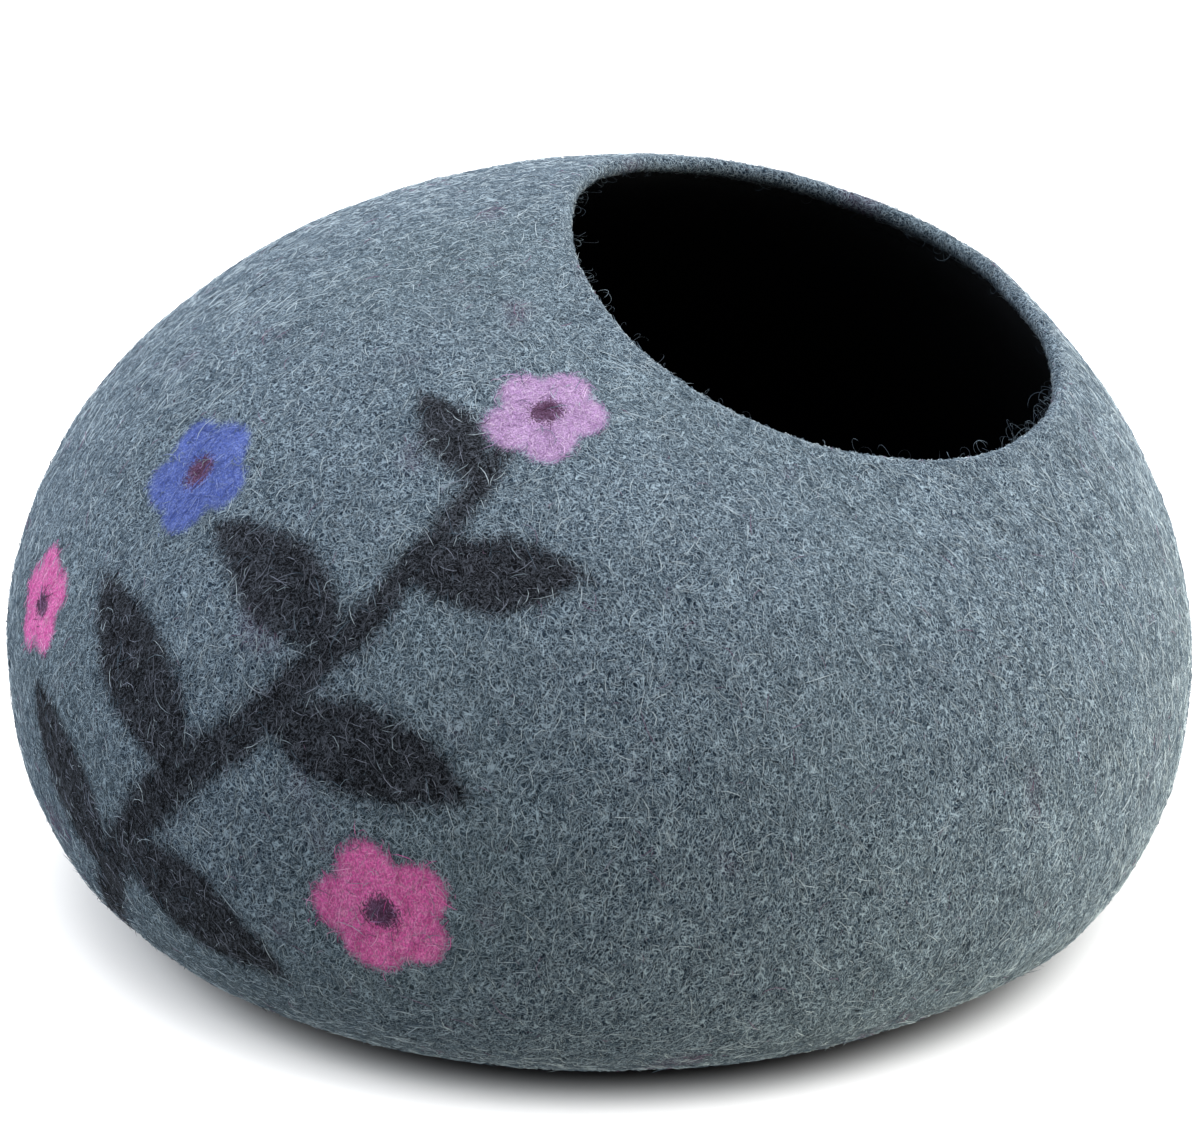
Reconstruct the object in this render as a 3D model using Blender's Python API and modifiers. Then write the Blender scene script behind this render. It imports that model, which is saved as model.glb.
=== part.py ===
"""Felt cat cave: one seamless shell of wet-felted wool, shaped like a squashed pebble.

The shell is a single sheet of thick felt with a round mouth cut into its
shoulder. It stands on a flat base on z = 0, in metres, +Z up. The mouth leans
towards +X. The outside of the felt is laid out first as an open surface, and
the wall is then grown inwards from it and its cut edge rounded over.
"""

import math

import bmesh
import bpy

# Driving dimensions, in metres unless a name says otherwise.
BELLY_RADIUS = 0.2505  # widest part of the round form
BELLY_HEIGHT = 0.1133  # height of the widest part above the floor
CROWN_HEIGHT = 0.308  # height of the form before the mouth is cut
BASE_RADIUS = 0.135  # flat part that rests on the floor
CROWN_POWER = 1.883  # fullness of the upper curve, 2 is an ellipse
BELLY_POWER = 2.70  # fullness of the curve under the belly
BASE_SHIFT = 0.0104  # the base sits this far towards the mouth side
FORM_CENTRE_Z = 0.090  # the point that the rim's stretch pulls away from

WALL = 0.0070  # thickness of the felt
EDGE_ROUND = 0.0032  # rounding of the mouth's cut edge

# The mouth: its half-angle, and how far its middle is moved from the crown in
# the form's flattened (stereographic) map, towards +X and +Y.
MOUTH_HALF_ANGLE = 0.560
MOUTH_SHIFT_X = 0.254
MOUTH_SHIFT_Y = -0.040
MOUTH_FADE = 0.60  # how far, in radians, the mouth's outline shapes the felt

# Out-of-roundness of the mouth: waves round it, cosine part and sine part.
MOUTH_WAVES = (
    # waves, cosine, sine
    (2, -0.065, -0.040),
    (3, 0.009, -0.007),
)

# The rim is stretched outwards by the hand that turned its edge.
STRETCH_MEAN = -0.0012
STRETCH_SIDE = 0.0072  # more on the low side, +X
STRETCH_BACK = 0.0125  # more at the back, +Y
STRETCH_REACH = 0.35  # radians

# Handmade unevenness of the form, as broad shallow waves round it.
UNEVEN = (
    # waves round, phase in degrees, depth, height of its middle, half-height
    (2, 25.0, 0.0010, 0.160, 0.090),
    (3, 140.0, 0.0010, 0.110, 0.060),
    (4, 60.0, 0.0007, 0.200, 0.060),
    (5, 200.0, 0.0006, 0.070, 0.045),
)

# Single soft swellings (outwards) and hollows (inwards) left by the hands.
SWELLINGS = (
    # direction in degrees, height, depth outwards, reach
    (22.0, 0.178, 0.0018, 0.034),
    (14.0, 0.236, -0.0016, 0.030),
    (-58.0, 0.034, -0.0022, 0.030),
    (-36.0, 0.030, 0.0020, 0.034),
    (-84.0, 0.036, -0.0012, 0.045),
    (-118.0, 0.180, 0.0012, 0.060),
    (160.0, 0.120, -0.0014, 0.055),
    (205.0, 0.230, 0.0012, 0.050),
    (95.0, 0.140, 0.0015, 0.060),
    (60.0, 0.090, -0.0014, 0.050),
)

# Fineness of the modelled surface.
AROUND = 64
RINGS_OF_SPHERE = 36
EDGE_STEPS = 3

FELT_COLOUR = (0.130, 0.175, 0.215, 1.0)  # slate blue wool
FELT_ROUGHNESS = 0.95


def clear_scene():
    for thing in list(bpy.data.objects):
        bpy.data.objects.remove(thing, do_unlink=True)


def half_outline(steps=240):
    """(radius, height) from the middle of the base, round the belly, to the crown."""
    points = [(BASE_RADIUS * k / 60, 0.0) for k in range(60)]
    quarter = [math.pi / 2 * k / steps for k in range(steps + 1)]
    for angle in reversed(quarter):
        points.append(
            (
                BASE_RADIUS
                + (BELLY_RADIUS - BASE_RADIUS)
                * max(math.cos(angle), 0.0) ** (2 / BELLY_POWER),
                BELLY_HEIGHT - BELLY_HEIGHT * math.sin(angle) ** (2 / BELLY_POWER),
            )
        )
    for angle in quarter[1:]:
        points.append(
            (
                BELLY_RADIUS * max(math.cos(angle), 0.0) ** (2 / CROWN_POWER),
                BELLY_HEIGHT
                + (CROWN_HEIGHT - BELLY_HEIGHT) * math.sin(angle) ** (2 / CROWN_POWER),
            )
        )
    lengths = [0.0]
    for (r0, z0), (r1, z1) in zip(points, points[1:]):
        lengths.append(lengths[-1] + math.hypot(r1 - r0, z1 - z0))
    return points, [length / lengths[-1] for length in lengths]


def along_outline(outline, share):
    """The outline's point at a share of its length, 0 at the base and 1 at the crown."""
    points, shares = outline
    low, high = 0, len(shares) - 1
    while high - low > 1:
        middle = (low + high) // 2
        if shares[middle] <= share:
            low = middle
        else:
            high = middle
    span = shares[high] - shares[low]
    mix = 0.0 if span == 0 else min(max((share - shares[low]) / span, 0.0), 1.0)
    return tuple(a + (b - a) * mix for a, b in zip(points[low], points[high]))


def unevenness(turn, height):
    total = 0.0
    for waves, phase, depth, middle, reach in UNEVEN:
        bump = math.exp(-(((height - middle) / reach) ** 2))
        total += depth * bump * math.cos(waves * turn + math.radians(phase))
    for direction, middle, depth, reach in SWELLINGS:
        apart = math.remainder(turn - math.radians(direction), 2 * math.pi)
        away = math.hypot(apart * BELLY_RADIUS, height - middle)
        total += depth * math.exp(-((away / reach) ** 2))
    # The base stays a true flat.
    lift = min(max(height / 0.030, 0.0), 1.0)
    return total * lift * lift * (3 - 2 * lift)


def felt_point(outline, round_mouth, from_mouth):
    """A point of the outer face: its angle round the mouth, and its angle from the mouth's middle, pi being the middle of the base."""
    past_rim = from_mouth - MOUTH_HALF_ANGLE
    fade = math.exp(-((past_rim / MOUTH_FADE) ** 2))
    shape = 1.0 + fade * sum(
        c * math.cos(n * round_mouth) + s * math.sin(n * round_mouth)
        for n, c, s in MOUTH_WAVES
    )
    reach = math.tan(min(from_mouth, math.pi - 1e-6) / 2) * shape
    flat_x = MOUTH_SHIFT_X + reach * math.cos(round_mouth)
    flat_y = MOUTH_SHIFT_Y + reach * math.sin(round_mouth)
    from_crown = 2 * math.atan(math.hypot(flat_x, flat_y))
    turn = math.atan2(flat_y, flat_x)
    radius, height = along_outline(outline, 1 - from_crown / math.pi)
    radius += unevenness(turn, height)
    x, y, z = radius * math.cos(turn), radius * math.sin(turn), height
    stretch = math.exp(-((past_rim / STRETCH_REACH) ** 2)) * (
        STRETCH_MEAN
        + STRETCH_SIDE * math.cos(round_mouth)
        + STRETCH_BACK * math.sin(round_mouth)
    )
    dx, dy, dz = x, y, z - FORM_CENTRE_Z
    size = math.sqrt(dx * dx + dy * dy + dz * dz)
    x += stretch * dx / size
    y += stretch * dy / size
    z += stretch * dz / size
    x += BASE_SHIFT * (1 - z / CROWN_HEIGHT)
    return x, y, z


def felt_surface():
    """The outer face as a mesh: a sphere without its top cap, each ring laid on the felt's form."""
    outline = half_outline()
    bm = bmesh.new()
    bmesh.ops.create_uvsphere(
        bm, u_segments=AROUND, v_segments=RINGS_OF_SPHERE, radius=1.0
    )
    cap = 0.5 * MOUTH_HALF_ANGLE
    rings = [k * math.pi / RINGS_OF_SPHERE for k in range(RINGS_OF_SPHERE + 1)]
    first = min(angle for angle in rings if angle > cap)
    bmesh.ops.delete(
        bm,
        geom=[v for v in bm.verts if math.acos(max(min(v.co.z, 1), -1)) < first - 1e-4],
        context="VERTS",
    )
    for v in bm.verts:
        polar = math.acos(max(min(v.co.z, 1.0), -1.0))
        turn = math.atan2(v.co.y, v.co.x)
        share = (polar - first) / (math.pi - first)
        angle = MOUTH_HALF_ANGLE + share * (math.pi - MOUTH_HALF_ANGLE)
        v.co = felt_point(outline, turn, angle)
    # The origin is the middle of the form's box, on the floor.
    middle_x = (max(v.co.x for v in bm.verts) + min(v.co.x for v in bm.verts)) / 2
    middle_y = (max(v.co.y for v in bm.verts) + min(v.co.y for v in bm.verts)) / 2
    for v in bm.verts:
        v.co.x -= middle_x
        v.co.y -= middle_y
    bm.normal_update()
    mesh = bpy.data.meshes.new("felt_shell")
    bm.to_mesh(mesh)
    bm.free()
    return mesh


def felt_material():
    material = bpy.data.materials.new("slate_wool_felt")
    material.use_nodes = True
    shader = material.node_tree.nodes["Principled BSDF"]
    shader.inputs["Base Color"].default_value = FELT_COLOUR
    shader.inputs["Roughness"].default_value = FELT_ROUGHNESS
    shader.inputs["Metallic"].default_value = 0.0
    return material


def build():
    clear_scene()
    collection = bpy.data.collections.new("felt_cat_cave")
    bpy.context.scene.collection.children.link(collection)

    shell = bpy.data.objects.new("felt_shell", felt_surface())
    collection.objects.link(shell)
    shell.data.materials.append(felt_material())

    wall = shell.modifiers.new("wall", "SOLIDIFY")
    wall.thickness = WALL
    wall.offset = -1.0
    wall.use_even_offset = True
    wall.use_quality_normals = True
    wall.use_rim = True

    edge = shell.modifiers.new("turned_edge", "BEVEL")
    edge.limit_method = "ANGLE"
    edge.angle_limit = math.radians(50)
    edge.width = EDGE_ROUND
    edge.segments = EDGE_STEPS
    edge.use_clamp_overlap = True

    shell.data.shade_smooth()
    return shell


build()
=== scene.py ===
"""Looks of a wet-felted wool cat cave: the thick felt shell, its felted-in sprig of
leaves and flowers, and the loose wool on its surface, round its mouth and inside.

Everything is in metres in the row frame: +Z up, the mouth leaning towards +X.
"""

import math

import bpy
import numpy as np
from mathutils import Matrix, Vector


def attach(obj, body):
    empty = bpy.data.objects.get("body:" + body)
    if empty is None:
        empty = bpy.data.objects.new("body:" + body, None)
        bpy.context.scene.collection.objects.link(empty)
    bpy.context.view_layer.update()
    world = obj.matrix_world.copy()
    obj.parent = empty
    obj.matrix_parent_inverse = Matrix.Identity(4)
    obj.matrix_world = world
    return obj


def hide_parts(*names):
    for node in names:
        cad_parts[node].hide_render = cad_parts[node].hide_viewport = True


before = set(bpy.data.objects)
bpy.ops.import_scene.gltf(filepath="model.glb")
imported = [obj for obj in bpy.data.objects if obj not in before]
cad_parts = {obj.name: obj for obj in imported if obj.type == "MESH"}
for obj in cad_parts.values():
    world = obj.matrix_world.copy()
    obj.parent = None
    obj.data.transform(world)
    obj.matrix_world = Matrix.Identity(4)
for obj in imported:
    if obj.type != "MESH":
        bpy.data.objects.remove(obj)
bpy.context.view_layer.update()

# ---------------------------------------------------------------------------
# The felt's form, the same as the CAD solid's.
# ---------------------------------------------------------------------------
BELLY_RADIUS = 0.2505
BELLY_HEIGHT = 0.1133
CROWN_HEIGHT = 0.308
BASE_RADIUS = 0.135
CROWN_POWER = 1.883
BELLY_POWER = 2.70
BASE_SHIFT = 0.0104
FORM_CENTRE_Z = 0.090
WALL = 0.0070
MOUTH_HALF_ANGLE = 0.560
MOUTH_SHIFT_X = 0.254
MOUTH_SHIFT_Y = -0.040
MOUTH_FADE = 0.60
MOUTH_WAVES = ((2, -0.065, -0.040), (3, 0.009, -0.007))
STRETCH_MEAN = -0.0012
STRETCH_SIDE = 0.0072
STRETCH_BACK = 0.0125
STRETCH_REACH = 0.35
UNEVEN = (
    # waves round, phase in degrees, depth, height of its middle, half-height
    (2, 25.0, 0.0010, 0.160, 0.090),
    (3, 140.0, 0.0010, 0.110, 0.060),
    (4, 60.0, 0.0007, 0.200, 0.060),
    (5, 200.0, 0.0006, 0.070, 0.045),
)
SWELLINGS = (
    # direction in degrees, height, depth outwards, reach
    (22.0, 0.178, 0.0018, 0.034),
    (14.0, 0.236, -0.0016, 0.030),
    (-58.0, 0.034, -0.0022, 0.030),
    (-36.0, 0.030, 0.0020, 0.034),
    (-84.0, 0.036, -0.0012, 0.045),
    (-118.0, 0.180, 0.0012, 0.060),
    (160.0, 0.120, -0.0014, 0.055),
    (205.0, 0.230, 0.0012, 0.050),
    (95.0, 0.140, 0.0015, 0.060),
    (60.0, 0.090, -0.0014, 0.050),
)
FORM_MIDDLE = (0.00575464, 0.00127498)

# Fineness of the shell's mesh.
AROUND = 320
OUTER_RINGS = 160
INNER_RINGS = 54
RIM_STEPS = 9

SEED = 20240


def smooth(low, high, x):
    t = np.clip((x - low) / (high - low), 0.0, 1.0)
    return t * t * (3 - 2 * t)


def noise(points, scale, seed):
    """Smooth gradient noise, about -1 to 1, of points in metres at that many cells a metre."""
    rng = np.random.default_rng(seed)
    table = rng.permutation(256)
    slopes = rng.normal(size=(256, 3))
    slopes /= np.linalg.norm(slopes, axis=1, keepdims=True)
    p = np.asarray(points, float) * scale + rng.uniform(10, 90, 3)
    cell = np.floor(p).astype(np.int64)
    f = p - cell
    ease = f * f * f * (f * (f * 6 - 15) + 10)
    total = np.zeros(len(p))
    for dx in (0, 1):
        for dy in (0, 1):
            for dz in (0, 1):
                h = table[(cell[:, 0] + dx) & 255]
                h = table[(h + cell[:, 1] + dy) & 255]
                h = table[(h + cell[:, 2] + dz) & 255]
                offset = f - np.array((dx, dy, dz), float)
                weight = (
                    (ease[:, 0] if dx else 1 - ease[:, 0])
                    * (ease[:, 1] if dy else 1 - ease[:, 1])
                    * (ease[:, 2] if dz else 1 - ease[:, 2])
                )
                total += weight * (slopes[h] * offset).sum(1)
    return total * 1.7


def half_outline(steps=240):
    quarter = np.linspace(0.0, math.pi / 2, steps + 1)
    base_r = BASE_RADIUS * np.arange(60) / 60
    low = quarter[::-1]
    low_r = BASE_RADIUS + (BELLY_RADIUS - BASE_RADIUS) * np.clip(
        np.cos(low), 0, None
    ) ** (2 / BELLY_POWER)
    low_z = BELLY_HEIGHT - BELLY_HEIGHT * np.sin(low) ** (2 / BELLY_POWER)
    up = quarter[1:]
    up_r = BELLY_RADIUS * np.clip(np.cos(up), 0, None) ** (2 / CROWN_POWER)
    up_z = BELLY_HEIGHT + (CROWN_HEIGHT - BELLY_HEIGHT) * np.sin(up) ** (
        2 / CROWN_POWER
    )
    radius = np.concatenate((base_r, low_r, up_r))
    height = np.concatenate((np.zeros(60), low_z, up_z))
    run = np.concatenate(
        ([0.0], np.cumsum(np.hypot(np.diff(radius), np.diff(height))))
    )
    return run / run[-1], radius, height


OUTLINE = half_outline()


def felt_point(round_mouth, from_mouth):
    """Points of the felt's outer face, from the angle round the mouth and the angle from its middle."""
    past_rim = from_mouth - MOUTH_HALF_ANGLE
    fade = np.exp(-((past_rim / MOUTH_FADE) ** 2))
    shape = 1.0 + fade * sum(
        c * np.cos(n * round_mouth) + s * np.sin(n * round_mouth)
        for n, c, s in MOUTH_WAVES
    )
    reach = np.tan(np.minimum(from_mouth, math.pi - 1e-6) / 2) * shape
    flat_x = MOUTH_SHIFT_X + reach * np.cos(round_mouth)
    flat_y = MOUTH_SHIFT_Y + reach * np.sin(round_mouth)
    from_crown = 2 * np.arctan(np.hypot(flat_x, flat_y))
    turn = np.arctan2(flat_y, flat_x)
    share = 1 - from_crown / math.pi
    radius = np.interp(share, OUTLINE[0], OUTLINE[1])
    height = np.interp(share, OUTLINE[0], OUTLINE[2])
    total = np.zeros_like(radius)
    for waves, phase, depth, middle, span in UNEVEN:
        total += (
            depth
            * np.exp(-(((height - middle) / span) ** 2))
            * np.cos(waves * turn + math.radians(phase))
        )
    for direction, middle, depth, span in SWELLINGS:
        apart = turn - math.radians(direction)
        apart = np.arctan2(np.sin(apart), np.cos(apart))
        away = np.hypot(apart * BELLY_RADIUS, height - middle)
        total += depth * np.exp(-((away / span) ** 2))
    radius = radius + total * smooth(0.0, 0.030, height)
    p = np.stack((radius * np.cos(turn), radius * np.sin(turn), height), -1)
    stretch = np.exp(-((past_rim / STRETCH_REACH) ** 2)) * (
        STRETCH_MEAN
        + STRETCH_SIDE * np.cos(round_mouth)
        + STRETCH_BACK * np.sin(round_mouth)
    )
    away = p - np.array((0.0, 0.0, FORM_CENTRE_Z))
    p = p + away / np.linalg.norm(away, axis=-1, keepdims=True) * stretch[..., None]
    p[..., 0] += BASE_SHIFT * (1 - p[..., 2] / CROWN_HEIGHT) - FORM_MIDDLE[0]
    p[..., 1] -= FORM_MIDDLE[1]
    return p


def felt_normal(round_mouth, from_mouth):
    """Outward unit normals of the outer face there."""
    step = 2e-4
    along = felt_point(round_mouth, np.minimum(from_mouth + step, math.pi)) - felt_point(
        round_mouth, from_mouth - step
    )
    round_ = felt_point(round_mouth + step, from_mouth) - felt_point(
        round_mouth - step, from_mouth
    )
    n = np.cross(along, round_)
    size = np.linalg.norm(n, axis=-1, keepdims=True)
    n = n / np.maximum(size, 1e-12)
    return n


# ---------------------------------------------------------------------------
# The felted-in sprig: where each colour of wool lies, on a chart of the left
# front of the cave. The chart's middle is a direction seen from inside.
# ---------------------------------------------------------------------------
CHART_TURN = math.radians(-124.0)
CHART_RISE = math.radians(19.0)
CHART_CENTRE = np.array((0.0, 0.0, 0.085))
CHART_RADIUS = 0.232

# The stem, as points across and up the chart, with its half-width.
STEM = (
    # across, up, half-width
    (-0.102, -0.124, 0.0096),
    (-0.072, -0.080, 0.0098),
    (-0.036, -0.042, 0.0094),
    (0.002, -0.008, 0.0086),
    (0.034, 0.032, 0.0076),
    (0.054, 0.078, 0.0062),
    (0.058, 0.118, 0.0046),
)

# Simple pointed leaves: foot, direction, length and greatest half-width.
LEAVES = (
    # across, up, direction in degrees, length, half-width
    (-0.080, -0.090, 118.0, 0.084, 0.0180),
    (-0.064, -0.072, -16.0, 0.086, 0.0185),
    (-0.026, -0.034, 130.0, 0.090, 0.0190),
    (0.008, -0.004, 0.0, 0.084, 0.0180),
    (0.030, 0.026, 148.0, 0.080, 0.0170),
    (0.046, 0.058, 20.0, 0.068, 0.0155),
    (0.056, 0.100, 134.0, 0.056, 0.0125),
)

# Round five-petalled flowers: place, size of the whole, colour, turn in degrees.
FLOWERS = (
    # across, up, radius, colour, turn
    (0.066, 0.142, 0.0260, "lilac", 12.0),
    (0.060, -0.064, 0.0270, "pink", 40.0),
    (-0.064, 0.076, 0.0255, "blue", -8.0),
    (-0.136, 0.008, 0.0220, "pink", 25.0),
)


def chart(points):
    """Places on the sprig's chart, (across, up) in metres, of points of the felt."""
    look = np.array(
        (
            math.cos(CHART_RISE) * math.cos(CHART_TURN),
            math.cos(CHART_RISE) * math.sin(CHART_TURN),
            math.sin(CHART_RISE),
        )
    )
    across = np.array((-math.sin(CHART_TURN), math.cos(CHART_TURN), 0.0))
    up = np.cross(look, across)
    away = points - CHART_CENTRE
    away = away / np.linalg.norm(away, axis=-1, keepdims=True)
    ahead = np.clip(away @ look, -1, 1)
    angle = np.arccos(ahead)
    side = np.stack((away @ across, away @ up), -1)
    size = np.maximum(np.linalg.norm(side, axis=-1, keepdims=True), 1e-9)
    return side / size * (angle * CHART_RADIUS)[..., None]


def stem_distance(uv):
    best = np.full(len(uv), 1.0)
    for (u0, v0, w0), (u1, v1, w1) in zip(STEM, STEM[1:]):
        a, b = np.array((u0, v0)), np.array((u1, v1))
        t = np.clip((uv - a) @ (b - a) / ((b - a) @ (b - a)), 0, 1)
        d = np.linalg.norm(uv - a - t[:, None] * (b - a), axis=1) - (w0 + (w1 - w0) * t)
        best = np.minimum(best, d)
    return best


def leaf_distance(uv):
    best = np.full(len(uv), 1.0)
    for u, v, direction, length, half in LEAVES:
        c, s = math.cos(math.radians(direction)), math.sin(math.radians(direction))
        x = (uv[:, 0] - u) * c + (uv[:, 1] - v) * s
        y = -(uv[:, 0] - u) * s + (uv[:, 1] - v) * c
        # A slight bend, so that the leaf droops along its length.
        y = y + 0.12 * (x / length) ** 2 * length * (1 if c > 0 else -1)
        t = np.clip(x / length, 0, 1)
        width = half * np.sin(math.pi * t**0.85) ** 0.8
        d = np.hypot(np.maximum(np.abs(y) - width, 0), x - np.clip(x, 0, length))
        inside = (d < 1e-9) & (x > 0) & (x < length)
        d = np.where(inside, np.abs(y) - width, d)
        best = np.minimum(best, d)
    return best


def flower_distance(uv, colour, middle=False):
    best = np.full(len(uv), 1.0)
    for u, v, radius, name, turn in FLOWERS:
        if name != colour:
            continue
        at = np.array((u, v))
        if middle:
            best = np.minimum(best, np.linalg.norm(uv - at, axis=1) - 0.26 * radius)
            continue
        for k in range(5):
            a = math.radians(turn + 72 * k)
            petal = at + 0.56 * radius * np.array((math.cos(a), math.sin(a)))
            best = np.minimum(best, np.linalg.norm(uv - petal, axis=1) - 0.44 * radius)
    return best


def wool_places(points):
    """Signed distances in millimetres to each colour of felted-in wool, below zero inside it."""
    uv = chart(points)
    # The felting pulls the edges about.
    pull = np.stack(
        (noise(points, 38, SEED + 1), noise(points, 38, SEED + 2)), -1
    ) * 0.0022 + np.stack(
        (noise(points, 120, SEED + 3), noise(points, 120, SEED + 4)), -1
    ) * 0.0010
    uv = uv + pull
    dark = np.minimum(stem_distance(uv), leaf_distance(uv))
    places = {"dark": dark * 1000}
    middles = np.full(len(uv), 1.0)
    for colour in ("pink", "lilac", "blue"):
        places[colour] = flower_distance(uv, colour) * 1000
        middles = np.minimum(middles, flower_distance(uv, colour, middle=True))
    places["middle"] = middles * 1000
    return places


# ---------------------------------------------------------------------------
# Materials.
# ---------------------------------------------------------------------------
def rgb(r, g, b):
    """Linear colour from sRGB 0 to 255."""
    out = []
    for c in (r, g, b):
        c = c / 255
        out.append(c / 12.92 if c <= 0.04045 else ((c + 0.055) / 1.055) ** 2.4)
    return (*out, 1.0)


SLATE_DEEP = rgb(18, 28, 40)
SLATE_MID = rgb(54, 71, 87)
SLATE_PALE = rgb(170, 191, 206)
CHARCOAL = rgb(10, 11, 15)
INSIDE = rgb(8, 10, 17)
PINK = rgb(236, 104, 186)
LILAC = rgb(180, 144, 196)
BLUE = rgb(84, 104, 182)
PLUM = rgb(92, 60, 88)
DUSK = rgb(148, 156, 174)
PINK_PALE = rgb(250, 186, 224)
LILAC_PALE = rgb(232, 208, 240)
BLUE_PALE = rgb(150, 168, 228)


class Tree:
    """A small helper round a material's nodes."""

    def __init__(self, name):
        self.material = bpy.data.materials.new(name)
        self.material.use_nodes = True
        self.nodes = self.material.node_tree.nodes
        self.links = self.material.node_tree.links
        self.shader = self.nodes["Principled BSDF"]
        place = self.nodes.new("ShaderNodeTexCoord")
        self.place = place.outputs["Object"]

    def put(self, value, socket):
        if isinstance(value, bpy.types.NodeSocket):
            self.links.new(value, socket)
        else:
            socket.default_value = value

    def attribute(self, name):
        node = self.nodes.new("ShaderNodeAttribute")
        node.attribute_name = name
        return node.outputs["Fac"]

    def colour_attribute(self, name):
        node = self.nodes.new("ShaderNodeAttribute")
        node.attribute_name = name
        return node.outputs["Color"]

    def maths(self, operation, a, b=0.0, c=None):
        node = self.nodes.new("ShaderNodeMath")
        node.operation = operation
        self.put(a, node.inputs[0])
        self.put(b, node.inputs[1])
        if c is not None:
            self.put(c, node.inputs[2])
        return node.outputs[0]

    def mix(self, share, a, b, kind="MIX"):
        node = self.nodes.new("ShaderNodeMix")
        node.data_type = "RGBA"
        node.blend_type = kind
        self.put(share, node.inputs[0])
        self.put(a, node.inputs[6])
        self.put(b, node.inputs[7])
        return node.outputs[2]

    def grain(self, scale, detail=2.0, roughness=0.5, kind="FBM", distortion=0.0, at=None):
        node = self.nodes.new("ShaderNodeTexNoise")
        node.noise_type = kind
        if kind == "FBM":
            node.normalize = True
        node.inputs["Scale"].default_value = scale
        node.inputs["Detail"].default_value = detail
        node.inputs["Roughness"].default_value = roughness
        node.inputs["Distortion"].default_value = distortion
        self.links.new(at or self.place, node.inputs["Vector"])
        return node

    def ramp(self, value, low, high, to_low=0.0, to_high=1.0):
        node = self.nodes.new("ShaderNodeMapRange")
        node.interpolation_type = "SMOOTHSTEP"
        self.put(value, node.inputs["Value"])
        self.put(low, node.inputs["From Min"])
        self.put(high, node.inputs["From Max"])
        self.put(to_low, node.inputs["To Min"])
        self.put(to_high, node.inputs["To Max"])
        return node.outputs["Result"]

    def stretched(self, vector, slant, by):
        """A place whose pattern is drawn out upwards, slanted by so many degrees."""
        node = self.nodes.new("ShaderNodeMapping")
        node.vector_type = "TEXTURE"
        self.links.new(vector, node.inputs["Vector"])
        node.inputs["Rotation"].default_value = (
            math.radians(0.6 * slant),
            math.radians(slant),
            0.0,
        )
        node.inputs["Scale"].default_value = (1.0, 1.0, by)
        return node.outputs[0]

    def shifted(self, vector, amount, colour):
        """vector + (colour - 0.5) * amount, a warped place."""
        node = self.nodes.new("ShaderNodeVectorMath")
        node.operation = "MULTIPLY_ADD"
        self.links.new(colour, node.inputs[0])
        node.inputs[1].default_value = (amount,) * 3
        self.links.new(vector, node.inputs[2])
        return node.outputs[0]


def wisps(tree):
    """Soft streaks of paler and darker wool: upright on the right side, level low down."""
    parts = tree.nodes.new("ShaderNodeSeparateXYZ")
    tree.links.new(tree.place, parts.inputs[0])
    upright = tree.grain(100, 1.5, 0.55, at=tree.stretched(tree.place, 0.0, 4.0))
    level = tree.grain(330, 1.0, 0.55, at=tree.stretched(tree.place, 0.0, 0.33))
    by_x = tree.ramp(parts.outputs["X"], 0.0, 0.17, 0.12, 0.60)
    by_z = tree.ramp(parts.outputs["Z"], 0.10, 0.03, 0.06, 0.26)
    total = tree.maths(
        "MULTIPLY_ADD", tree.maths("SUBTRACT", upright.outputs["Fac"], 0.5), by_x, 1.0
    )
    return tree.maths(
        "MULTIPLY_ADD", tree.maths("SUBTRACT", level.outputs["Fac"], 0.5), by_z, total
    )


# Layers of strands in the felt's surface.
STRANDS = (
    # slant in degrees, strands a metre, width, strength
    (8.0, 540, 0.040, 1.0),
    (58.0, 590, 0.040, 0.90),
    (-52.0, 660, 0.044, 0.80),
    (20.0, 1050, 0.060, 0.55),
)


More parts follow.
